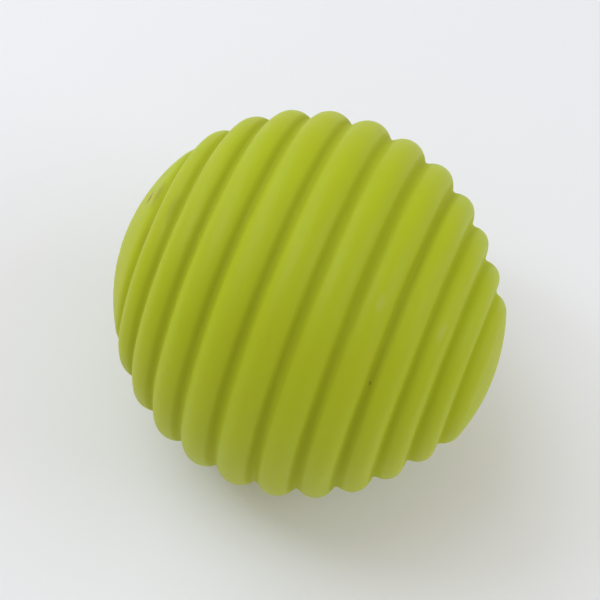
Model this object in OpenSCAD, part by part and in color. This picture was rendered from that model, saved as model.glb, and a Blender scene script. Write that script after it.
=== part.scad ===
// Soft ribbed dodgeball. One hollow moulding has round parallel ribs about one axis and a smooth domed
// cap at each end. The flatter cap holds a rubber inflation valve that a small pull-out plug closes.
// The ball lies on the floor plane Z = 0 over the origin, its axis level along X: the proud smooth cap
// is at +X and the valve at -X. Sections are drawn as [distance from the axis, place along the axis].

/* [Ball] */
// Diameter over the crown of the middle rib
ball_d = 150; // [120:1:220]
// Thickness of the moulded wall
wall = 2.8; // [1.8:0.1:4]

/* [Ribs] */
// Ribs between the middle one and the smooth cap
smooth_side_ribs = 5; // [2:1:5]
// Ribs between the middle one and the valve cap
valve_side_ribs = 4; // [2:1:5]
// Angle at the ball's centre that the middle rib spans
middle_pitch = 13.1; // [12:0.1:13.8]
// Angle by which each rib is narrower than the one before it, towards the caps
pitch_step = 0.42; // [0.2:0.02:0.7]
// Depth below the crown at which the arcs of two ribs would meet
valley_depth = 4.9; // [4:0.1:5.4]
// Height that each rib loses to the one before it, towards the caps
rise_fade = 0.04; // [0:0.02:0.2]
// Radius in the bottom of each valley
valley_fillet = 1.8; // [1:0.1:2.2]

/* [Smooth cap] */
// Height of the smooth cap's pole beyond the middle rib's crown
cap_stand = 3.2; // [2:0.2:5]
// Distance of the dome's centre from the ball's centre, towards the smooth cap
cap_dome_shift = 1.2; // [-6:0.2:6]
// Radius of the smooth cap's rounded shoulder
cap_shoulder_r = 8.4; // [6:0.2:10]
// Height of the last valley before the smooth cap over the other valleys
cap_groove_lift = 2.3; // [0:0.1:3]

/* [Valve cap] */
// Depth of the valve cap's pole below the middle rib's crown
valve_cap_drop = 0.2; // [0:0.1:1]
// Distance of the dome's centre from the ball's centre, towards the valve cap
valve_dome_shift = 3.6; // [0:0.2:7]
// Radius of the valve cap's rounded shoulder
valve_shoulder_r = 5.8; // [5:0.2:8]
// Distance by which either cap's shoulder stands out over its own valley
cap_overhang = 1.2; // [0.8:0.1:1.6]

/* [Valve] */
// Diameter of the boss inside the cap
boss_d = 24; // [18:0.5:30]
// Thickness of the cap at the boss
boss_t = 6; // [5:0.5:9]
// Diameter of the valve's flush head
valve_head_d = 14; // [12:0.5:16]
// Thickness of the valve's flush head
valve_head_t = 1.8; // [1.4:0.1:2.4]
// Diameter of the valve's neck through the boss
valve_neck_d = 9; // [7:0.5:11]
// Diameter of the flange that locks the valve inside the ball
valve_flange_d = 15; // [12:0.5:18]
// Thickness of the locking flange
valve_flange_t = 1.8; // [1.2:0.1:3]
// Diameter of the valve's tail inside the ball
valve_tail_d = 7; // [5:0.5:8.5]
// Length of the valve's tail behind the flange
valve_tail_l = 9; // [6:0.5:14]
// Radius of the rounded end of the tail
valve_tail_round = 1.5; // [0.5:0.1:2.2]
// Width of the tail's closing slit
slit_w = 0.3; // [0.2:0.05:0.5]
// Length of the tail's closing slit across the tail
slit_l = 3.6; // [2.6:0.1:4.4]

/* [Plug] */
// Diameter of the plug's head
plug_head_d = 6; // [5:0.1:7]
// Thickness of the plug's head at its rim
plug_head_t = 0.9; // [0.6:0.1:1.2]
// Height of the plug's domed top over its rim
plug_crown = 0.25; // [0.1:0.05:0.4]
// Diameter of the plug's stem
plug_stem_d = 2.4; // [2:0.1:3]
// Length of the plug's stem under its head
plug_stem_l = 8; // [5:0.5:10]
// Radius of the nail scoop beside the plug's head
scoop_r = 1.3; // [0.8:0.1:1.7]

/* [Hidden] */
$fn = 120;

// Gap left for the bond round the valve in its seat
bond_gap = 0.05;
// Running clearance of the plug's stem in its channel, on the radius
stem_gap = 0.05;
// Clearance of the plug's head in its recess, on the radius
head_gap = 0.15;
// Length that the valve's channel runs on past the plug's tip
channel_spare = 1.5;
// Length by which every cut runs past the face it opens
overrun = 1;

ball_r = ball_d / 2;
valley_r = ball_r - valley_depth;
middle_rise = ball_r - valley_r * cos(middle_pitch / 2);

lime = [0.66, 0.72, 0.16];
deep_lime = [0.5, 0.56, 0.12];
natural_white = [0.9, 0.9, 0.86];

// Latitude of groove k, counted from the middle rib to the cap
function groove_lat(k) = middle_pitch * (k - 1 / 2) - pitch_step * k * (k - 1) / 2;

// Bottom of groove k, where two ribs would meet sharply
function groove(k, lift) = (valley_r + lift) * [cos(groove_lat(k)), sin(groove_lat(k))];

// Circle [x, y, radius] whose arc rises by a given height over the chord from a to b
function arc_over(a, b, rise) =
    let (half = norm(b - a) / 2)
    let (r = (half * half + rise * rise) / (2 * rise))
    let (out = [b.y - a.y, a.x - b.x] / (2 * half))
    let (c = (a + b) / 2 + out * (rise - r))
    [c.x, c.y, r];

// The two ends differ: the smooth cap is +1 and the valve cap is -1
function ribs(end) = end > 0 ? smooth_side_ribs : valve_side_ribs;
function end_lift(end) = end > 0 ? cap_groove_lift : 0;
function pole(end) = end > 0 ? ball_r + cap_stand : ball_r - valve_cap_drop;
function face_centre(end) = end > 0 ? cap_dome_shift : valve_dome_shift;
function face_r(end) = pole(end) - face_centre(end);
function shoulder_r(end) = end > 0 ? cap_shoulder_r : valve_shoulder_r;

// The shoulder touches the face from inside and stands out over the last groove
function shoulder_x(end) = groove(ribs(end) + 1, end_lift(end)).x + cap_overhang - shoulder_r(end);
function face_half_angle(end) = asin(shoulder_x(end) / (face_r(end) - shoulder_r(end)));
function shoulder_y(end) = face_centre(end) + (face_r(end) - shoulder_r(end)) * cos(face_half_angle(end));
function shoulder(end) = [shoulder_x(end), shoulder_y(end), shoulder_r(end)];

// Circles of one half of the section, in order from the middle rib to the cap's shoulder
function rib(k, end) =
    arc_over(groove(k, 0), groove(k + 1, k == ribs(end) ? end_lift(end) : 0), middle_rise - rise_fade * k);
function middle_rib() = arc_over([groove(1, 0).x, -groove(1, 0).y], groove(1, 0), middle_rise);
function chain(end) = concat([middle_rib()], [for (k = [1 : ribs(end)]) rib(k, end)], [shoulder(end)]);

// Centre of the small circle that rounds the valley between circles a and b
function fillet_centre(a, b) =
    let (pa = [a.x, a.y], pb = [b.x, b.y], ra = a.z + valley_fillet, rb = b.z + valley_fillet)
    let (d = norm(pb - pa), u = (pb - pa) / d)
    let (along = (d * d + ra * ra - rb * rb) / (2 * d))
    pa + along * u + sqrt(ra * ra - along * along) * [u.y, -u.x];

// Distance of the valleys' rounded floor from the ball's centre
floor_r = norm(fillet_centre(middle_rib(), rib(1, 1))) - valley_fillet;

// Depth of a domed face below its pole at a given distance from the axis
function sag(r, at) = r - sqrt(r * r - at * at);

// Plane of the valve's flush head, measured from the ball's centre
valve_plane = pole(-1) - sag(face_r(-1), valve_head_d / 2);
channel_l = plug_head_t + plug_stem_l + channel_spare;
tail_end = boss_t + valve_flange_t + valve_tail_l;
dome_r = (pow(plug_head_d / 2, 2) + pow(plug_crown, 2)) / (2 * plug_crown);

// Puts a section's turned solid on the ball's axis, its own zero at a place along that axis
module on_axis(at = 0) {
    translate([at, 0, ball_r]) rotate([0, 90, 0]) children();
}

// Box of a section from the axis out to r, between two places along the axis
module band(r, from, to) {
    translate([0, from]) square([r, to - from]);
}

// One end of the ball's section, every outline drawn in by an inset
module half_section(end, inset) {
    mirror([0, end > 0 ? 0 : 1]) {
        for (c = chain(end)) {
            translate([c.x, c.y]) circle(r = c.z - inset);
        }
        intersection() {
            translate([0, face_centre(end)]) circle(r = face_r(end) - inset);
            translate([0, face_centre(end)]) polygon([
                [0, 0],
                [0, 2 * face_r(end)],
                [2 * face_r(end) * tan(face_half_angle(end)), 2 * face_r(end)]
            ]);
        }
    }
}

// Material that rounds the valleys of one end
module valley_fillets(end) {
    circles = chain(end);
    mirror([0, end > 0 ? 0 : 1]) for (i = [0 : ribs(end)]) {
        a = circles[i];
        b = circles[i + 1];
        f = fillet_centre(a, b);
        difference() {
            polygon([[a.x, a.y], f, [b.x, b.y]]);
            translate(f) circle(r = valley_fillet);
        }
    }
}

// The ball's outline, or its hollow where the inset is the wall, kept to one side of the axis
module ball_section(inset, core_r) {
    intersection() {
        union() {
            circle(r = core_r);
            for (end = [-1, 1]) half_section(end, inset);
        }
        translate([0, -ball_d]) square([ball_d, 2 * ball_d]);
    }
}

// Hollow of the ball, with the boss left standing round the valve
module hollow_section() {
    difference() {
        ball_section(wall, floor_r - wall);
        band(boss_d / 2, -ball_d, boss_t - valve_plane);
    }
}

// Stepped hole that the valve's head and neck fill
module valve_seat_section() {
    band(valve_head_d / 2 + bond_gap, -valve_plane - ball_r, valve_head_t - valve_plane);
    band(valve_neck_d / 2 + bond_gap, -valve_plane - ball_r, boss_t - valve_plane + overrun);
}

// One-piece hollow ball: ribs, valleys, two caps and the valve's boss
module shell() {
    color(lime) on_axis() rotate_extrude() difference() {
        union() {
            ball_section(0, valley_r);
            valley_fillets(-1);
            valley_fillets(1);
        }
        hollow_section();
        valve_seat_section();
    }
}

// Outline of the soft valve, from its flush head at zero to the end of its tail
module valve_outline() {
    band(valve_head_d / 2, 0, valve_head_t);
    band(valve_neck_d / 2, 0, boss_t + valve_flange_t);
    band(valve_flange_d / 2, boss_t, boss_t + valve_flange_t);
    band(valve_tail_d / 2, boss_t, tail_end - valve_tail_round);
    band(valve_tail_d / 2 - valve_tail_round, boss_t, tail_end);
    translate([valve_tail_d / 2 - valve_tail_round, tail_end - valve_tail_round]) circle(r = valve_tail_round);
}

// Rubber valve: flush head, neck, locking flange and a tail that a slit closes
module valve_body() {
    color(deep_lime) on_axis(-valve_plane) difference() {
        rotate_extrude() difference() {
            valve_outline();
            band(plug_head_d / 2 + head_gap, -overrun, plug_head_t);
            band(plug_stem_d / 2 + stem_gap, -overrun, channel_l);
        }
        translate([-slit_l / 2, -slit_w / 2, channel_l - overrun])
            cube([slit_l, slit_w, tail_end - channel_l + 2 * overrun]);
        translate([plug_head_d / 2 + head_gap, 0, 0]) sphere(r = scoop_r);
    }
}

// Plug: a low domed head over a straight stem with a rounded tip
module valve_plug() {
    color(natural_white) on_axis(-valve_plane) rotate_extrude() {
        band(plug_head_d / 2, 0, plug_head_t);
        intersection() {
            translate([0, dome_r - plug_crown]) circle(r = dome_r);
            band(plug_head_d / 2, -plug_crown, 0);
        }
        band(plug_stem_d / 2, 0, plug_head_t + plug_stem_l - plug_stem_d / 2);
        intersection() {
            translate([0, plug_head_t + plug_stem_l - plug_stem_d / 2]) circle(d = plug_stem_d);
            band(plug_stem_d / 2, 0, plug_head_t + plug_stem_l);
        }
    }
}

shell();
valve_body();
valve_plug();
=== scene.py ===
# %% [markdown]
# # A soft ribbed dodgeball
#
# The ball is one hollow vinyl moulding with ten round ribs, a smooth cap at each end, and a rubber
# valve with a small plug in the cap that faces away from the camera. Its engineering model is already
# packed. This lesson loads that model as a fixed frame and dresses it: every visible piece is drawn as
# a section and turned about the ball's axis, the way its mould was turned on a lathe.

# %% Load the fixed frame
import math

import bpy
from mathutils import Matrix, Vector


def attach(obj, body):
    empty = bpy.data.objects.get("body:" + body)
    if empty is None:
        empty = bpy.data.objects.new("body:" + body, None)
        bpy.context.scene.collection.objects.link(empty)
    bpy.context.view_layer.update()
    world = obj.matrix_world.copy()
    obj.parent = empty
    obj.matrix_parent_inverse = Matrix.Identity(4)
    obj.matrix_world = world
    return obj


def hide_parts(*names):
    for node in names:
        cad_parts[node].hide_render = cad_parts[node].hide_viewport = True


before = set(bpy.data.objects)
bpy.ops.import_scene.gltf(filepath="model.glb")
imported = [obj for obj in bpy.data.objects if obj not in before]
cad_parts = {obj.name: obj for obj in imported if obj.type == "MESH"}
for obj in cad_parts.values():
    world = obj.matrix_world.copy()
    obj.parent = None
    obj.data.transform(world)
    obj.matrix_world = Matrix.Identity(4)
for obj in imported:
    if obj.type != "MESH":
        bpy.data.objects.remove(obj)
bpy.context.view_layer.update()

# %% [markdown]
# ## Sizes
#
# All lengths are metres. Those of the ball are written as millimetres times MM, so that they read like
# a drawing, and they repeat the driving sizes of the engineering model. The places of the ribs aren't
# typed in: each valley's latitude follows from the middle rib's pitch and from how much each rib
# narrows towards the caps.

# %% The ball's driving sizes
MM = 0.001

BALL_R = 75 * MM
WALL = 2.8 * MM
MIDDLE_PITCH = math.radians(13.1)
PITCH_STEP = math.radians(0.42)
VALLEY_DEPTH = 4.9 * MM
RISE_FADE = 0.04 * MM
VALLEY_FILLET = 1.8 * MM
CAP_OVERHANG = 1.2 * MM

VALLEY_R = BALL_R - VALLEY_DEPTH
MIDDLE_RISE = BALL_R - VALLEY_R * math.cos(MIDDLE_PITCH / 2)
CENTRE = Vector((0, 0, BALL_R))

SMOOTH_CAP = {
    "side": 1,
    "ribs": 5,
    "pole": BALL_R + 3.2 * MM,
    "dome_at": 1.2 * MM,
    "shoulder_r": 8.4 * MM,
    "lift": 2.3 * MM,
}
VALVE_CAP = {
    "side": -1,
    "ribs": 4,
    "pole": BALL_R - 0.2 * MM,
    "dome_at": 3.6 * MM,
    "shoulder_r": 5.8 * MM,
    "lift": 0,
}

# %% The valve's and the plug's sizes
HEAD_R = 7 * MM
HEAD_T = 1.8 * MM
NECK_R = 4.5 * MM
FLANGE_R = 7.5 * MM
FLANGE_T = 1.8 * MM
TAIL_R = 3.5 * MM
TAIL_L = 9 * MM
BOSS_T = 6 * MM
BOND_GAP = 0.05 * MM
PLUG_HEAD_R = 3 * MM
PLUG_HEAD_T = 0.9 * MM
PLUG_CROWN = 0.25 * MM
STEM_R = 1.2 * MM
STEM_L = 8 * MM
STEM_GAP = 0.05 * MM
HEAD_GAP = 0.15 * MM
CHANNEL_SPARE = 1.5 * MM
SCOOP_R = 1.3 * MM

# %% [markdown]
# ## Camera
#
# The photograph looks down on the ball from a little over four diameters away. The ribs tell how its
# axis lies to the lens: right and down in the picture by 21.8 degrees, and 6.6 degrees towards the
# lens. A turned shape looks the same however it is rolled about its axis, so the ribs alone don't tell
# how high the camera stood. The shadow on the floor does: it fits 60 degrees up, with the axis level
# and the camera rolled by 10 degrees. The camera looks a little beside the ball's middle, which the
# picture has at CENTRE_PX.

# %% Set the camera
CAMERA_TURN = math.radians(13.37)
CAMERA_RISE = math.radians(60)
CAMERA_ROLL = math.radians(10.18)
CAMERA_AWAY = 647 * MM
CAMERA_LENS = 100.25
CAMERA_NEAR = 10 * MM
SENSOR = 36.0
PICTURE = 600
CENTRE_PX = (306.0, 303.6)

level = Vector((math.cos(CAMERA_TURN), math.sin(CAMERA_TURN), 0))
back = Vector((
    math.sin(CAMERA_TURN) * math.cos(CAMERA_RISE),
    -math.cos(CAMERA_TURN) * math.cos(CAMERA_RISE),
    math.sin(CAMERA_RISE),
))
right = Matrix.Rotation(CAMERA_ROLL, 3, back) @ level
up = back.cross(right)
metres_per_px = CAMERA_AWAY * SENSOR / CAMERA_LENS / PICTURE
beside = right * (PICTURE / 2 - CENTRE_PX[0]) * metres_per_px
beside += up * (CENTRE_PX[1] - PICTURE / 2) * metres_per_px

camera_data = bpy.data.cameras.new("camera")
camera_data.lens = CAMERA_LENS
camera_data.sensor_width = SENSOR
camera_data.clip_start = CAMERA_NEAR
camera = bpy.data.objects.new("camera", camera_data)
camera.location = CENTRE + beside + back * CAMERA_AWAY
camera.rotation_euler = Matrix((right, up, back)).transposed().to_euler()
bpy.context.scene.collection.objects.link(camera)
bpy.context.scene.camera = camera
print("one picture point spans", round(metres_per_px / MM, 3), "mm at the ball's middle")

# %% [markdown]
# ## Light and floor
#
# The shadows in the photograph are soft and pale, so the world gives light from all round. Three lamps
# on the left, one wide and two small, give the ribs their bright left flanks, and a wide lamp at the
# right lifts the flanks that face it. The lamps are a little cool and the world is a little warm, so
# that the ball is warmer in its shade than in its light, while the floor stays neutral. Strengths are
# set so that a colour renders about as it is written.

# %% Set the lights
LAMP_TINT = (0.795, 0.887, 1.0)
ROOM_TINT = (1.0, 0.934, 0.812)
LAMPS = {
    "window": {"turn": -45, "rise": 32, "size": 0.9, "watts": 4.7},
    "window_high": {"turn": -90, "rise": 70, "size": 0.6, "watts": 3.1},
    "window_low": {"turn": -90, "rise": 52, "size": 0.3, "watts": 2.3},
    "side": {"turn": 90, "rise": 32, "size": 0.9, "watts": 4.7},
}
LAMPS_AWAY = 1.3
WORLD_STRENGTH = 0.589


def add_lamp(name, turn, rise, size, watts):
    """A square soft lamp that looks at the ball. Turn counts clockwise from the camera's way ahead."""
    ahead = Vector((0, 0, 1)).cross(level)
    t, r = math.radians(turn), math.radians(rise)
    way = (ahead * math.cos(t) + level * math.sin(t)) * math.cos(r) + Vector((0, 0, math.sin(r)))
    data = bpy.data.lights.new(name, "AREA")
    data.shape = "SQUARE"
    data.size = size
    data.energy = watts
    data.color = LAMP_TINT
    lamp = bpy.data.objects.new(name, data)
    lamp.location = CENTRE + way * LAMPS_AWAY
    lamp.rotation_euler = way.to_track_quat("Z", "Y").to_euler()
    bpy.context.scene.collection.objects.link(lamp)


for lamp_name, lamp_values in LAMPS.items():
    add_lamp(lamp_name, **lamp_values)

world = bpy.data.worlds.new("room")
bpy.context.scene.world = world
world.use_nodes = True
world.node_tree.nodes["Background"].inputs["Color"].default_value = (*ROOM_TINT, 1)
world.node_tree.nodes["Background"].inputs["Strength"].default_value = WORLD_STRENGTH
bpy.context.scene.view_settings.view_transform = "Standard"

# %% [markdown]
# ## A sweep without an edge
#
# The floor is a pale sweep, which has no visible edge. Here it is a wide plane, and far from the ball
# both the floor and the world show one pale tone to the camera alone, by Light Path's Is Camera Ray. So
# no light is added to the ball, and the floor near it keeps its own colour and the shadow.

# %% Helpers that add nodes
def wire(tree, kind, inputs=None, **settings):
    """Adds a node, sets its properties, and feeds its inputs with sockets or plain values."""
    node = tree.nodes.new(kind)
    for key, value in settings.items():
        setattr(node, key, value)
    for key, value in (inputs or {}).items():
        if isinstance(value, bpy.types.NodeSocket):
            tree.links.new(value, node.inputs[key])
        else:
            node.inputs[key].default_value = value
    return node


def maths(tree, operation, *values):
    """A Math node over sockets or plain numbers; returns its result's socket."""
    return wire(tree, "ShaderNodeMath", dict(enumerate(values)), operation=operation).outputs[0]


def vector_maths(tree, operation, values, result="Vector"):
    """A Vector Math node; returns the socket of its vector or of its value."""
    return wire(tree, "ShaderNodeVectorMath", values, operation=operation).outputs[result]


def map_range(tree, value, before, after, **settings):
    """A Map Range node that takes one span of values to another; returns its result's socket."""
    spans = {"From Min": before[0], "From Max": before[1], "To Min": after[0], "To Max": after[1]}
    return wire(tree, "ShaderNodeMapRange", {"Value": value, **spans}, **settings).outputs["Result"]


def soft_range(tree, value, before, after):
    """A Map Range node that eases in and out."""
    return map_range(tree, value, before, after, interpolation_type="SMOOTHSTEP")


# %% Lay the floor
FLOOR_SIZE = 40.0
FLOOR_COLOUR = (0.845, 0.842, 0.885, 1)
BACKDROP = (0.835, 0.845, 0.86, 1)
FLOOR_ROUGHNESS = 0.9
FLOOR_SPECULAR = 0.1
FADE_FROM = 0.3
FADE_TO = 1.2

bpy.ops.object.select_all(action="DESELECT")
bpy.ops.mesh.primitive_plane_add(size=FLOOR_SIZE)
floor = bpy.context.object
floor.name = "floor"
floor_paint = bpy.data.materials.new("pale_sweep")
floor_paint.use_nodes = True
tree = floor_paint.node_tree
floor_shader = tree.nodes["Principled BSDF"]
floor_shader.inputs["Base Color"].default_value = FLOOR_COLOUR
floor_shader.inputs["Roughness"].default_value = FLOOR_ROUGHNESS
floor_shader.inputs["Specular IOR Level"].default_value = FLOOR_SPECULAR

where = wire(tree, "ShaderNodeTexCoord").outputs["Object"]
distance = vector_maths(tree, "LENGTH", {0: where}, "Value")
far = soft_range(tree, distance, (FADE_FROM, FADE_TO), (0.0, 1.0))
seen = wire(tree, "ShaderNodeLightPath").outputs["Is Camera Ray"]
share = maths(tree, "MULTIPLY", far, seen)
lit = floor_shader.outputs["BSDF"]
tone = wire(tree, "ShaderNodeEmission", {"Color": BACKDROP}).outputs["Emission"]
sweep = wire(tree, "ShaderNodeMixShader", {0: share, 1: lit, 2: tone}).outputs["Shader"]
tree.links.new(sweep, tree.nodes["Material Output"].inputs["Surface"])
floor.data.materials.append(floor_paint)

sky = world.node_tree
room = sky.nodes["Background"].outputs["Background"]
tone = wire(sky, "ShaderNodeBackground", {"Color": BACKDROP}).outputs["Background"]
seen = wire(sky, "ShaderNodeLightPath").outputs["Is Camera Ray"]
shown = wire(sky, "ShaderNodeMixShader", {0: seen, 1: room, 2: tone}).outputs["Shader"]
sky.links.new(shown, sky.nodes["World Output"].inputs["Surface"])

# %% [markdown]
# ## Drawing a section
#
# Ribs, caps, valve and plug are all round about one axis, so each is a section turned with Spin. A
# section is drawn like a pen line: it starts as one vertex, Extrude makes its straight stretches, and
# Spin about a rib's own centre makes its arcs. Spin takes the sharpness of an arc from its step count,
# so a curve never needs a list of points. Places in a section are (along the axis, away from the axis).

# %% The pen
ARC_STEP = math.radians(8)
HOLLOW_STEP = math.radians(16)
DOME_STEPS = 8
LEAST_STEPS = 3
SMOOTH_UNDER = math.radians(40)
SMALL = 0.01 * MM


def start_pen(name, point):
    """A new mesh of one selected vertex, made by merging a small plane at its middle."""
    bpy.ops.object.select_all(action="DESELECT")
    bpy.ops.mesh.primitive_plane_add(size=MM, location=(point[0], 0, BALL_R + point[1]))
    piece = bpy.context.object
    piece.name = name
    piece.data.name = name
    bpy.ops.object.transform_apply(location=True, rotation=True, scale=True)
    bpy.ops.object.mode_set(mode="EDIT")
    bpy.ops.mesh.select_mode(type="VERT")
    bpy.ops.mesh.select_all(action="SELECT")
    bpy.ops.mesh.merge(type="CENTER")
    return {"piece": piece, "at": Vector(point)}


def line_to(pen, point):
    """Extrudes the pen's last vertex to a point."""
    step = Vector(point) - pen["at"]
    bpy.ops.mesh.extrude_region_move(TRANSFORM_OT_translate={"value": (step.x, 0, step.y)})
    pen["at"] = Vector(point)


def arc_to(pen, centre, point, steps=None, hollow=False):
    """Spins the pen's last vertex about a centre to a point, clockwise unless the arc is a hollow."""
    centre, point = Vector(centre), Vector(point)
    before, after = pen["at"] - centre, point - centre
    turn = math.atan2(after.y, after.x) - math.atan2(before.y, before.x)
    turn = turn % (2 * math.pi) if hollow else -(-turn % (2 * math.pi))
    steps = steps or max(LEAST_STEPS, round(abs(turn) / (HOLLOW_STEP if hollow else ARC_STEP)))
    middle = (centre.x, 0, BALL_R + centre.y)
    bpy.ops.mesh.spin(steps=steps, angle=turn, center=middle, axis=(0, 1, 0), use_auto_merge=False)
    pen["at"] = point


def select_near(piece, points):
    """Selects the vertices of a drawn section that lie at some of its points."""
    bpy.ops.mesh.select_all(action="DESELECT")
    bpy.ops.object.mode_set(mode="OBJECT")
    for vertex in piece.data.vertices:
        here = Vector((vertex.co.x, vertex.co.z - BALL_R))
        vertex.select = any((here - Vector(p)).length < SMALL for p in points)
    bpy.ops.object.mode_set(mode="EDIT")


def round_corners(pen, points, reach, steps=LEAST_STEPS):
    """Bevels single corners of a section, which later become round edges and valleys."""
    select_near(pen["piece"], points)
    bpy.ops.mesh.bevel(offset=reach, offset_type="OFFSET", segments=steps, affect="VERTICES")


def turn_section(pen, steps):
    """Spins a whole section round the ball's axis and closes its seam and poles."""
    piece = pen["piece"]
    bpy.ops.mesh.select_all(action="SELECT")
    bpy.ops.mesh.spin(
        steps=steps, angle=2 * math.pi, center=CENTRE, axis=(1, 0, 0), use_auto_merge=False
    )
    bpy.ops.mesh.select_all(action="SELECT")
    bpy.ops.mesh.remove_doubles(threshold=SMALL)
    bpy.ops.mesh.normals_make_consistent(inside=False)
    bpy.ops.object.mode_set(mode="OBJECT")
    bpy.ops.object.shade_smooth_by_angle(angle=SMOOTH_UNDER)
    print(piece.name, "turned:", len(piece.data.polygons), "faces")
    return piece


# %% [markdown]
# ## The shell
#
# The real ball is moulded in one piece, and its ribs are plain arcs with small rounded valleys between
# them. With grooves cut into a sphere, the crowns would stay as flat as the sphere. Here each rib is an
# arc over two neighbouring grooves, and a small circle that touches two ribs rounds the valley between
# them, so crowns and valleys both come out right. A Displace modifier adds the slight unevenness of
# soft vinyl, and Solidify gives the wall. The valve's end has one rib less, and its dome is wider.

# %% Where ribs and caps lie
def groove(k, cap):
    """Where the arcs of two ribs would meet, counted from the middle rib towards a cap."""
    latitude = MIDDLE_PITCH * (k - 0.5) - PITCH_STEP * k * (k - 1) / 2
    reach = VALLEY_R + (cap["lift"] if k > cap["ribs"] else 0)
    return Vector((cap["side"] * math.sin(latitude), math.cos(latitude))) * reach


def rib_circle(a, b, rise):
    """Centre and radius of the arc that rises over two grooves."""
    half = (b - a).length / 2
    radius = (half * half + rise * rise) / (2 * rise)
    outward = (a + b).normalized()
    across = (b - a).normalized()
    outward = (outward - across * outward.dot(across)).normalized()
    return (a + b) / 2 + outward * (rise - radius), radius


def face_radius(cap):
    """Radius of a cap's domed face."""
    return cap["pole"] - cap["dome_at"]


def face_centre(cap):
    """Centre of a cap's domed face, which lies on the axis."""
    return Vector((cap["side"] * cap["dome_at"], 0))


def shoulder_circle(cap):
    """Centre and radius of a cap's shoulder, which touches the domed face from inside."""
    away = groove(cap["ribs"] + 1, cap).y + CAP_OVERHANG - cap["shoulder_r"]
    span = face_radius(cap) - cap["shoulder_r"]
    along = cap["dome_at"] + math.sqrt(span * span - away * away)
    return Vector((cap["side"] * along, away)), cap["shoulder_r"]


def face_touch(cap):
    """Where shoulder and domed face run into each other."""
    centre, radius = shoulder_circle(cap)
    return centre + (centre - face_centre(cap)).normalized() * radius


def end_circles(cap):
    """The circles of one end, from the rib beside the middle one out to the cap's shoulder."""
    ribs = [
        rib_circle(groove(k, cap), groove(k + 1, cap), MIDDLE_RISE - RISE_FADE * k)
        for k in range(1, cap["ribs"] + 1)
    ]
    return ribs + [shoulder_circle(cap)]


def valley_centre(a, b):
    """Centre of the small circle that touches two neighbouring circles from outside."""
    (centre_a, radius_a), (centre_b, radius_b) = a, b
    reach_a, reach_b = radius_a + VALLEY_FILLET, radius_b + VALLEY_FILLET
    gap = centre_b - centre_a
    along = (gap.length_squared + reach_a ** 2 - reach_b ** 2) / (2 * gap.length)
    unit = gap.normalized()
    return centre_a + unit * along + Vector((-unit.y, unit.x)) * math.sqrt(reach_a ** 2 - along ** 2)


def head_plane():
    """How far the valve's flush head lies from the ball's middle."""
    return VALVE_CAP["dome_at"] + math.sqrt(face_radius(VALVE_CAP) ** 2 - HEAD_R ** 2)


# %% Draw and turn the shell
SEAT_R = HEAD_R + BOND_GAP
HOLE_R = NECK_R + BOND_GAP
SHELL_STEPS = 160
SEAT_ROUND = 0.3 * MM
PLANE = -head_plane()

rim = Vector((-VALVE_CAP["dome_at"] - math.sqrt(face_radius(VALVE_CAP) ** 2 - SEAT_R ** 2), SEAT_R))
middle = rib_circle(groove(1, VALVE_CAP), groove(1, SMOOTH_CAP), MIDDLE_RISE)
circles = end_circles(VALVE_CAP)[::-1] + [middle] + end_circles(SMOOTH_CAP)

pen = start_pen("shell_skin", (PLANE + BOSS_T, HOLE_R))
line_to(pen, (PLANE + HEAD_T, HOLE_R))
line_to(pen, (PLANE + HEAD_T, SEAT_R))
line_to(pen, rim)
arc_to(pen, face_centre(VALVE_CAP), face_touch(VALVE_CAP), steps=DOME_STEPS)
valleys = []
for before, after in zip(circles, circles[1:]):
    valley = valley_centre(before, after)
    arc_to(pen, before[0], before[0] + (valley - before[0]).normalized() * before[1])
    arc_to(pen, valley, after[0] + (valley - after[0]).normalized() * after[1], hollow=True)
    valleys.append(valley)
arc_to(pen, circles[-1][0], face_touch(SMOOTH_CAP))
arc_to(pen, face_centre(SMOOTH_CAP), (SMOOTH_CAP["pole"], 0), steps=DOME_STEPS)

round_corners(pen, [rim], SEAT_ROUND)
shell_skin = turn_section(pen, SHELL_STEPS)
print("valleys at", [round(math.degrees(math.atan2(p.x, p.y)), 1) for p in valleys])

# %% [markdown]
# Soft vinyl never comes out of its mould quite even. A Displace modifier with a clouds texture sinks
# the surface by up to a third of a millimetre, which is enough for the highlights to wander along a
# rib. It never lifts it, so the outside keeps its size. A vertex group keeps the valve's seat true.
# Solidify then gives the wall inwards.

# %% Give the shell its unevenness and its wall
UNEVEN = 0.35 * MM
UNEVEN_SCALE = 22 * MM
SEAT_FADE = 8 * MM


def apply_modifiers(piece):
    """Applies every modifier of a piece, in order."""
    bpy.ops.object.select_all(action="DESELECT")
    piece.select_set(True)
    bpy.context.view_layer.objects.active = piece
    for modifier in list(piece.modifiers):
        bpy.ops.object.modifier_apply(modifier=modifier.name)


def off_axis(point):
    """Distance of a point from the ball's axis."""
    return math.hypot(point.y, point.z - BALL_R)


free_skin = shell_skin.vertex_groups.new(name="free_skin")
for vertex in shell_skin.data.vertices:
    from_seat = off_axis(vertex.co) - SEAT_R if vertex.co.x < 0 else SEAT_FADE
    free_skin.add([vertex.index], max(0.0, min(1.0, from_seat / SEAT_FADE)), "REPLACE")

clouds = bpy.data.textures.new("uneven_skin", "CLOUDS")
clouds.noise_scale = UNEVEN_SCALE
clouds.noise_depth = 1
displace = shell_skin.modifiers.new("uneven", "DISPLACE")
displace.texture = clouds
displace.texture_coords = "LOCAL"
displace.strength = UNEVEN
displace.mid_level = 1.0
displace.vertex_group = "free_skin"
wall = shell_skin.modifiers.new("wall", "SOLIDIFY")
wall.thickness = WALL
wall.offset = -1
apply_modifiers(shell_skin)
print("shell with its wall:", len(shell_skin.data.polygons), "faces")

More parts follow.
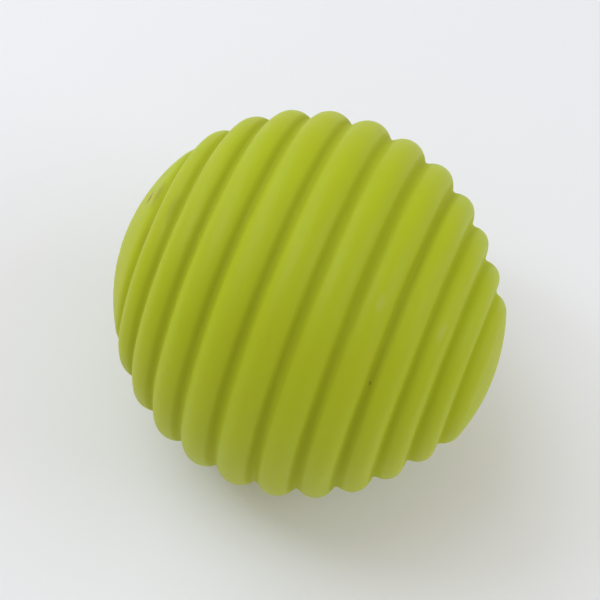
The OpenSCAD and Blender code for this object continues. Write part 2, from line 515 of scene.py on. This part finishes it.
# %% [markdown]
# Shade is painted into the valleys, and they are made duller, so the material has to know where they
# are. Pointiness would depend on how fine the mesh is, so each vertex instead stores its distance from
# the nearest valley as an attribute, which the material reads.

# %% Store the distance from the valleys
VALLEY_REACH = 6 * MM

from_valley = shell_skin.data.attributes.new("from_valley", "FLOAT", "POINT")
for vertex in shell_skin.data.vertices:
    here = Vector((vertex.co.x, off_axis(vertex.co)))
    nearest = min((here - valley).length for valley in valleys) - VALLEY_FILLET
    from_valley.data[vertex.index].value = max(0.0, min(nearest / VALLEY_REACH, 1.0))

# %% [markdown]
# Off its mould, a soft ball is never quite true. In the photograph the smooth end is pressed in by
# about half a millimetre and leans a little towards its upper side, and the ribs before it follow less
# and less. Each vertex there moves along the axis by a share that grows smoothly towards the end.

# %% Let the smooth end lean
LEAN_FROM = 35 * MM
LEAN_TO = 75 * MM
LEAN_IN = 0.6 * MM
LEAN_ANGLE = math.radians(0.7)
LEAN_WAY = Vector((0, 0.872, 0.49))

for vertex in shell_skin.data.vertices:
    share = max(0.0, min((vertex.co.x - LEAN_FROM) / (LEAN_TO - LEAN_FROM), 1.0))
    share = share * share * (3 - 2 * share)
    vertex.co.x -= share * (LEAN_IN + math.tan(LEAN_ANGLE) * (vertex.co - CENTRE).dot(LEAN_WAY))

# %% [markdown]
# ## The valve
#
# The valve is a soft rubber insert. Its flush head lies in the cap's recess, its flange locks it
# inside, and its tail closes round the pump's needle by a slit, which is left to the engineering model.
# Only the head and the channel show, but one pen line draws the whole section. Boolean cuts the little
# scoop that lets a fingernail get under the plug, and a merge clears the slivers that it leaves.

# %% Draw and turn the valve
VALVE_STEPS = 96
CHANNEL_R = STEM_R + STEM_GAP
RECESS_R = PLUG_HEAD_R + HEAD_GAP
CHANNEL_L = PLUG_HEAD_T + STEM_L + CHANNEL_SPARE
FLANGE_END = BOSS_T + FLANGE_T
TAIL_END = FLANGE_END + TAIL_L
HEAD_ROUND = 0.25 * MM
FLANGE_ROUND = 0.3 * MM
TAIL_ROUND = 1.5 * MM
TAIL_ROUND_STEPS = 6
SCOOP_RINGS = 16


def inward(depth, radius):
    """A point of a valve section, given by its depth behind the flush head and its radius."""
    return Vector((PLANE + depth, radius))


outline = [
    inward(CHANNEL_L, 0),
    inward(CHANNEL_L, CHANNEL_R),
    inward(PLUG_HEAD_T, CHANNEL_R),
    inward(PLUG_HEAD_T, RECESS_R),
    inward(0, RECESS_R),
    inward(0, HEAD_R),
    inward(HEAD_T, HEAD_R),
    inward(HEAD_T, NECK_R),
    inward(BOSS_T, NECK_R),
    inward(BOSS_T, FLANGE_R),
    inward(FLANGE_END, FLANGE_R),
    inward(FLANGE_END, TAIL_R),
    inward(TAIL_END, TAIL_R),
    inward(TAIL_END, 0),
]
pen = start_pen("valve_skin", outline[0])
for corner in outline[1:]:
    line_to(pen, corner)
round_corners(pen, outline[4:6], HEAD_ROUND)
round_corners(pen, outline[9:11], FLANGE_ROUND)
round_corners(pen, outline[12:13], TAIL_ROUND, steps=TAIL_ROUND_STEPS)
valve_skin = turn_section(pen, VALVE_STEPS)

bpy.ops.object.select_all(action="DESELECT")
scoop_place = (PLANE, 0, BALL_R - RECESS_R)
bpy.ops.mesh.primitive_uv_sphere_add(
    segments=2 * SCOOP_RINGS, ring_count=SCOOP_RINGS, radius=SCOOP_R, location=scoop_place
)
scoop = bpy.context.object
cut = valve_skin.modifiers.new("scoop", "BOOLEAN")
cut.object = scoop
cut.operation = "DIFFERENCE"
apply_modifiers(valve_skin)
bpy.data.objects.remove(scoop)
bpy.context.view_layer.objects.active = valve_skin
bpy.ops.object.mode_set(mode="EDIT")
bpy.ops.mesh.select_all(action="SELECT")
bpy.ops.mesh.remove_doubles(threshold=SMALL)
bpy.ops.mesh.dissolve_degenerate(threshold=SMALL)
bpy.ops.object.mode_set(mode="OBJECT")
bpy.ops.object.shade_smooth_by_angle(angle=SMOOTH_UNDER)

# %% [markdown]
# ## The plug
#
# A small plug of natural white plastic closes the valve. It has a low dome to press with a thumb and a
# straight stem with a round tip that finds its way into the channel.

# %% Draw and turn the plug
DOME_R = (PLUG_HEAD_R ** 2 + PLUG_CROWN ** 2) / (2 * PLUG_CROWN)
TIP = PLUG_HEAD_T + STEM_L
PLUG_ROUND = 0.18 * MM

pen = start_pen("plug_skin", inward(-PLUG_CROWN, 0))
arc_to(pen, inward(DOME_R - PLUG_CROWN, 0), inward(0, PLUG_HEAD_R), steps=DOME_STEPS)
line_to(pen, inward(PLUG_HEAD_T, PLUG_HEAD_R))
line_to(pen, inward(PLUG_HEAD_T, STEM_R))
line_to(pen, inward(TIP - STEM_R, STEM_R))
arc_to(pen, inward(TIP - STEM_R, 0), inward(TIP, 0), steps=DOME_STEPS)
round_corners(pen, [inward(0, PLUG_HEAD_R), inward(PLUG_HEAD_T, PLUG_HEAD_R)], PLUG_ROUND)
plug_skin = turn_section(pen, VALVE_STEPS)

# %% [markdown]
# ## Marks placed from the picture
#
# The photograph shows one small brown scuff on the left cap with faint stains round it, one dark speck
# in a valley, and two pale streaks on crowns, which are painted highlights. Their places in the picture
# are named values. A ray from the camera through such a point finds where the mark lies on the shell, so
# it stays on the surface from every side.

# %% Find the marks on the shell
SCUFF_PX = (150, 198)
SPECK_PX = (370, 383)
STAINS_PX = [(158, 194), (146, 238), (173, 208), (157, 268)]
# The two pale streaks on crowns are painted highlights.
SHEEN_PX = [(441, 333), (380, 303)]


def on_shell(px):
    """Where the shell lies behind a point of the picture."""
    across, down = [(p - PICTURE / 2) / PICTURE * SENSOR / CAMERA_LENS for p in px]
    way = (right * across - up * down - back).normalized()
    found, place = shell_skin.ray_cast(camera.location, way)[:2]
    print("picture point", px, "lies at", [round(c / MM, 1) for c in place] if found else None)
    return place


def along_rib(place):
    """The direction in which the ribs run at a place of the shell."""
    return Vector((0, BALL_R - place.z, place.y)).normalized()


scuff_place = on_shell(SCUFF_PX)
speck_place = on_shell(SPECK_PX)
stain_places = [on_shell(px) for px in STAINS_PX]
sheen_places = [on_shell(px) for px in SHEEN_PX]

# %% [markdown]
# ## Node groups
#
# Three effects are used more than once, so each is a group that is built once: the grain of a moulded
# skin, which puts out a normal; a soft mottling of the tone; and a mark, which is a ragged patch round
# a place. The groups put out values and normals only, and the shader stays in each material.

# %% Helpers for groups
def new_group(name, inputs, outputs):
    """An empty shader group with named sockets; returns its tree, given inputs and output node."""
    tree = bpy.data.node_groups.new(name, "ShaderNodeTree")
    for socket_name, kind, value in inputs:
        socket = tree.interface.new_socket(socket_name, in_out="INPUT", socket_type=kind)
        if value is not None:
            socket.default_value = value
    for socket_name, kind in outputs:
        tree.interface.new_socket(socket_name, in_out="OUTPUT", socket_type=kind)
    return tree, tree.nodes.new("NodeGroupInput").outputs, tree.nodes.new("NodeGroupOutput")


def noise(tree, place, scale, detail):
    """A noise texture's value."""
    values = {"Vector": place, "Scale": scale, "Detail": detail}
    return wire(tree, "ShaderNodeTexNoise", values).outputs["Fac"]


# %% Build the groups
RAGGED_SCALE = 1400.0
MARK_FULL = 0.4
MARK_GONE = 1.2


def build_moulded_grain():
    """Fine matt grain over a broader orange peel, as a normal."""
    tree, given, out = new_group(
        "moulded_grain",
        [("Vector", "NodeSocketVector", None), ("Grain Scale", "NodeSocketFloat", 900.0),
         ("Grain Height", "NodeSocketFloat", 0.02 * MM), ("Peel Scale", "NodeSocketFloat", 160.0),
         ("Peel Height", "NodeSocketFloat", 0.08 * MM)],
        [("Normal", "NodeSocketVector")],
    )
    peel = noise(tree, given["Vector"], given["Peel Scale"], 1.0)
    grain = noise(tree, given["Vector"], given["Grain Scale"], 3.0)
    broad = wire(tree, "ShaderNodeBump", {"Height": peel, "Distance": given["Peel Height"]})
    fine = wire(tree, "ShaderNodeBump", {
        "Height": grain, "Distance": given["Grain Height"], "Normal": broad.outputs["Normal"],
    })
    tree.links.new(fine.outputs["Normal"], out.inputs["Normal"])
    return tree


def build_mottle():
    """A soft cloudy value from 0 to 1, for tone and for gloss."""
    tree, given, out = new_group(
        "mottle",
        [("Vector", "NodeSocketVector", None), ("Scale", "NodeSocketFloat", 30.0),
         ("Contrast", "NodeSocketFloat", 1.0)],
        [("Value", "NodeSocketFloat")],
    )
    cloud = noise(tree, given["Vector"], given["Scale"], 2.0)
    spread = maths(tree, "MULTIPLY_ADD", maths(tree, "SUBTRACT", cloud, 0.5), given["Contrast"], 0.5)
    spread.node.use_clamp = True
    tree.links.new(spread, out.inputs["Value"])
    return tree


def build_mark():
    """A ragged patch round a place, longer along one direction."""
    tree, given, out = new_group(
        "mark",
        [("Vector", "NodeSocketVector", None), ("Place", "NodeSocketVector", None),
         ("Along", "NodeSocketVector", None), ("Length", "NodeSocketFloat", 4 * MM),
         ("Width", "NodeSocketFloat", 1 * MM), ("Ragged", "NodeSocketFloat", 0.4)],
        [("Mask", "NodeSocketFloat")],
    )
    way = given["Along"]
    offset = vector_maths(tree, "SUBTRACT", {0: given["Vector"], 1: given["Place"]})
    along = vector_maths(tree, "DOT_PRODUCT", {0: offset, 1: way}, "Value")
    lane = vector_maths(tree, "SCALE", {0: way, "Scale": along})
    aside = vector_maths(tree, "SUBTRACT", {0: offset, 1: lane})
    width = vector_maths(tree, "LENGTH", {0: aside}, "Value")
    a = maths(tree, "DIVIDE", along, given["Length"])
    b = maths(tree, "DIVIDE", width, given["Width"])
    reach = maths(tree, "SQRT", maths(tree, "MULTIPLY_ADD", b, b, maths(tree, "POWER", a, 2.0)))
    ragged = noise(tree, given["Vector"], RAGGED_SCALE, 3.0)
    edge = maths(tree, "MULTIPLY_ADD", ragged, given["Ragged"], reach)
    mask = soft_range(tree, edge, (MARK_FULL, MARK_GONE), (1.0, 0.0))
    tree.links.new(mask, out.inputs["Mask"])
    return tree


moulded_grain = build_moulded_grain()
mottle = build_mottle()
mark = build_mark()


def use_group(tree, group, inputs):
    """Places a node group in a material with its own values."""
    return wire(tree, "ShaderNodeGroup", inputs, node_tree=group)


def blend_colour(tree, factor, a, b):
    """Mixes two colours, each a socket or a plain colour, and returns the result's socket."""
    return wire(tree, "ShaderNodeMix", {0: factor, 6: a, 7: b}, data_type="RGBA").outputs[2]


def new_material(name):
    """A material with its tree, its shader and its Object coordinates."""
    material = bpy.data.materials.new(name)
    material.use_nodes = True
    tree = material.node_tree
    place = tree.nodes.new("ShaderNodeTexCoord").outputs["Object"]
    return material, tree, tree.nodes["Principled BSDF"], place


# %% [markdown]
# ## Soft vinyl
#
# The shell's lime green is satin and a little cloudy. Soft vinyl lets light in and spreads it over some
# millimetres, which a subsurface weight gives: it softens the edge between crown and valley, and warms
# the colour in the shade. The valleys get painted shade, a darker olive, which is weaker towards the two
# caps. The scuff, the stains, the painted highlights on two crowns and the speck are marks at the places
# found above.

# %% The shell's finish
LIME = (0.403, 0.485, 0.007, 1)
WARM_LIME = (0.423, 0.465, 0.008, 1)
TONE_CLOUDS = {"Scale": 28.0, "Contrast": 1.6}
GLOSS_CLOUDS = {"Scale": 75.0, "Contrast": 1.2}
SATIN = (0.44, 0.56)
# The valleys' painted shade: its olive colour, its strength, how far it reaches and where it fades.
PAINTED_SHADE_OLIVE = (0.26, 0.28, 0.004, 1)
PAINTED_SHADE_STRENGTH = 0.3
VALLEY_DULL = 0.25
TINT_REACH = 0.25
SMOOTH_END_FADE = (36 * MM, 56 * MM)
VALVE_END_FADE = (-68 * MM, -45 * MM)
VALVE_END_SHADE = 0.3
VINYL_SPECULAR = 0.25
VINYL_SCATTER = 0.7
VINYL_SCATTER_RGB = (1.0, 1.0, 0.3)
VINYL_SCATTER_REACH = 3.5 * MM

soft_vinyl, tree, vinyl, place = new_material("soft_vinyl")

tone = use_group(tree, mottle, {"Vector": place, **TONE_CLOUDS}).outputs["Value"]
valley = wire(tree, "ShaderNodeAttribute", attribute_name="from_valley").outputs["Fac"]
near_valley = soft_range(tree, valley, (0.0, TINT_REACH), (1.0, 0.0))
along_axis = wire(tree, "ShaderNodeSeparateXYZ", {"Vector": place}).outputs["X"]
# Painted shade: darker olive in the valleys, fading out towards the smooth cap and weaker at the valve's
# end.
smooth_fade = map_range(tree, along_axis, SMOOTH_END_FADE, (PAINTED_SHADE_STRENGTH, 0.0))
valve_fade = map_range(tree, along_axis, VALVE_END_FADE, (VALVE_END_SHADE, 1.0))
painted_shade = maths(tree, "MULTIPLY", near_valley, maths(tree, "MULTIPLY", smooth_fade, valve_fade))
colour = blend_colour(tree, tone, LIME, WARM_LIME)
colour = blend_colour(tree, painted_shade, colour, PAINTED_SHADE_OLIVE)

gloss = use_group(tree, mottle, {"Vector": place, **GLOSS_CLOUDS}).outputs["Value"]
satin = map_range(tree, gloss, (0.0, 1.0), SATIN)
tree.links.new(maths(tree, "MULTIPLY_ADD", near_valley, VALLEY_DULL, satin), vinyl.inputs["Roughness"])
grain = use_group(tree, moulded_grain, {"Vector": place})
tree.links.new(grain.outputs["Normal"], vinyl.inputs["Normal"])
vinyl.inputs["Specular IOR Level"].default_value = VINYL_SPECULAR
vinyl.inputs["Subsurface Weight"].default_value = VINYL_SCATTER
vinyl.inputs["Subsurface Radius"].default_value = VINYL_SCATTER_RGB
vinyl.inputs["Subsurface Scale"].default_value = VINYL_SCATTER_REACH

# %% Add the marks
STAIN = {"Length": 10 * MM, "Width": 3.5 * MM, "Ragged": 0.7}
STAIN_TAN = (0.31, 0.32, 0.008, 1)
STAIN_STRENGTHS = (0.8, 0.4, 0.4, 0.3)
# Painted highlights: pale, slightly bluish streaks on two crowns.
PAINTED_SHEEN = {"Length": 6 * MM, "Width": 2.6 * MM, "Ragged": 0.6}
SHEEN_PALE = (0.46, 0.49, 0.09, 1)
SHEEN_STRENGTH = 0.45
SCUFF = {"Length": 4 * MM, "Width": 1.7 * MM, "Ragged": 0.5}
SCUFF_BROWN = (0.28, 0.09, 0.01, 1)
SCUFF_STRENGTH = 1.0
SPECK = {"Length": 1.2 * MM, "Width": 0.6 * MM, "Ragged": 0.3}
SPECK_DARK = (0.09, 0.09, 0.004, 1)
SPECK_STRENGTH = 0.55

marks = [(spot, STAIN, STAIN_TAN, strength) for spot, strength in zip(stain_places, STAIN_STRENGTHS)]
marks += [(spot, PAINTED_SHEEN, SHEEN_PALE, SHEEN_STRENGTH) for spot in sheen_places]
marks.append((scuff_place, SCUFF, SCUFF_BROWN, SCUFF_STRENGTH))
marks.append((speck_place, SPECK, SPECK_DARK, SPECK_STRENGTH))
for spot, shape, mark_colour, strength in marks:
    values = {"Vector": place, "Place": spot, "Along": along_rib(spot), **shape}
    mask = use_group(tree, mark, values).outputs["Mask"]
    colour = blend_colour(tree, maths(tree, "MULTIPLY", mask, strength), colour, mark_colour)
tree.links.new(colour, vinyl.inputs["Base Color"])

# %% [markdown]
# ## Valve rubber and plug plastic
#
# The valve is the same green made deeper and duller, and its grain is finer, as it is on small
# mouldings. The plug is uncoloured plastic, smoother than the rest, with a hint of yellow in its
# clouds.

# %% The valve's and the plug's finishes
SMALL_CLOUDS = 1.5
RUBBER = {
    "colours": ((0.20, 0.25, 0.03, 1), (0.26, 0.30, 0.04, 1)),
    "roughness": (0.62, 0.74),
    "clouds": 260.0,
    "skin": {"Grain Scale": 2500.0, "Peel Scale": 700.0, "Peel Height": 0.03 * MM},
}
RUBBER_SPECULAR = 0.25
PLASTIC = {
    "colours": ((0.80, 0.80, 0.74, 1), (0.74, 0.73, 0.62, 1)),
    "roughness": (0.3, 0.42),
    "clouds": 320.0,
    "skin": {"Grain Scale": 3000.0, "Peel Scale": 900.0, "Peel Height": 0.01 * MM},
}
PLASTIC_SCATTER = 0.2
PLASTIC_SCATTER_RGB = (1.0, 0.9, 0.7)
PLASTIC_SCATTER_REACH = 1 * MM


def clouded_material(name, colours, roughness, clouds, skin):
    """A material whose colour and gloss follow the same clouds, with the moulded grain."""
    material, tree, shader, place = new_material(name)
    values = {"Vector": place, "Scale": clouds, "Contrast": SMALL_CLOUDS}
    tone = use_group(tree, mottle, values).outputs["Value"]
    tree.links.new(blend_colour(tree, tone, *colours), shader.inputs["Base Color"])
    tree.links.new(map_range(tree, tone, (0.0, 1.0), roughness), shader.inputs["Roughness"])
    grain = use_group(tree, moulded_grain, {"Vector": place, **skin})
    tree.links.new(grain.outputs["Normal"], shader.inputs["Normal"])
    return material, shader


valve_rubber, rubber = clouded_material("valve_rubber", **RUBBER)
rubber.inputs["Specular IOR Level"].default_value = RUBBER_SPECULAR

plug_plastic, plastic = clouded_material("plug_plastic", **PLASTIC)
plastic.inputs["Subsurface Weight"].default_value = PLASTIC_SCATTER
plastic.inputs["Subsurface Radius"].default_value = PLASTIC_SCATTER_RGB
plastic.inputs["Subsurface Scale"].default_value = PLASTIC_SCATTER_REACH

# %% [markdown]
# ## Dress the frame
#
# Each turned piece stands for one imported node, rides on that node's body and gets a finish that bears
# the name of the record's slot for it. So the plug comes out with its own body when the joint moves.

# %% Attach the pieces
DRESS = [
    (shell_skin, "shell", "ball", "soft_vinyl", soft_vinyl),
    (valve_skin, "valve_body", "ball", "valve_rubber", valve_rubber),
    (plug_skin, "valve_plug", "plug", "plug_plastic", plug_plastic),
]
for piece, node, body, slot, material in DRESS:
    piece.data.materials.clear()
    piece.data.materials.append(material)
    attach(piece, body)
    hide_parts(node)
    print(piece.name, "stands for", node, "and rides on", body)
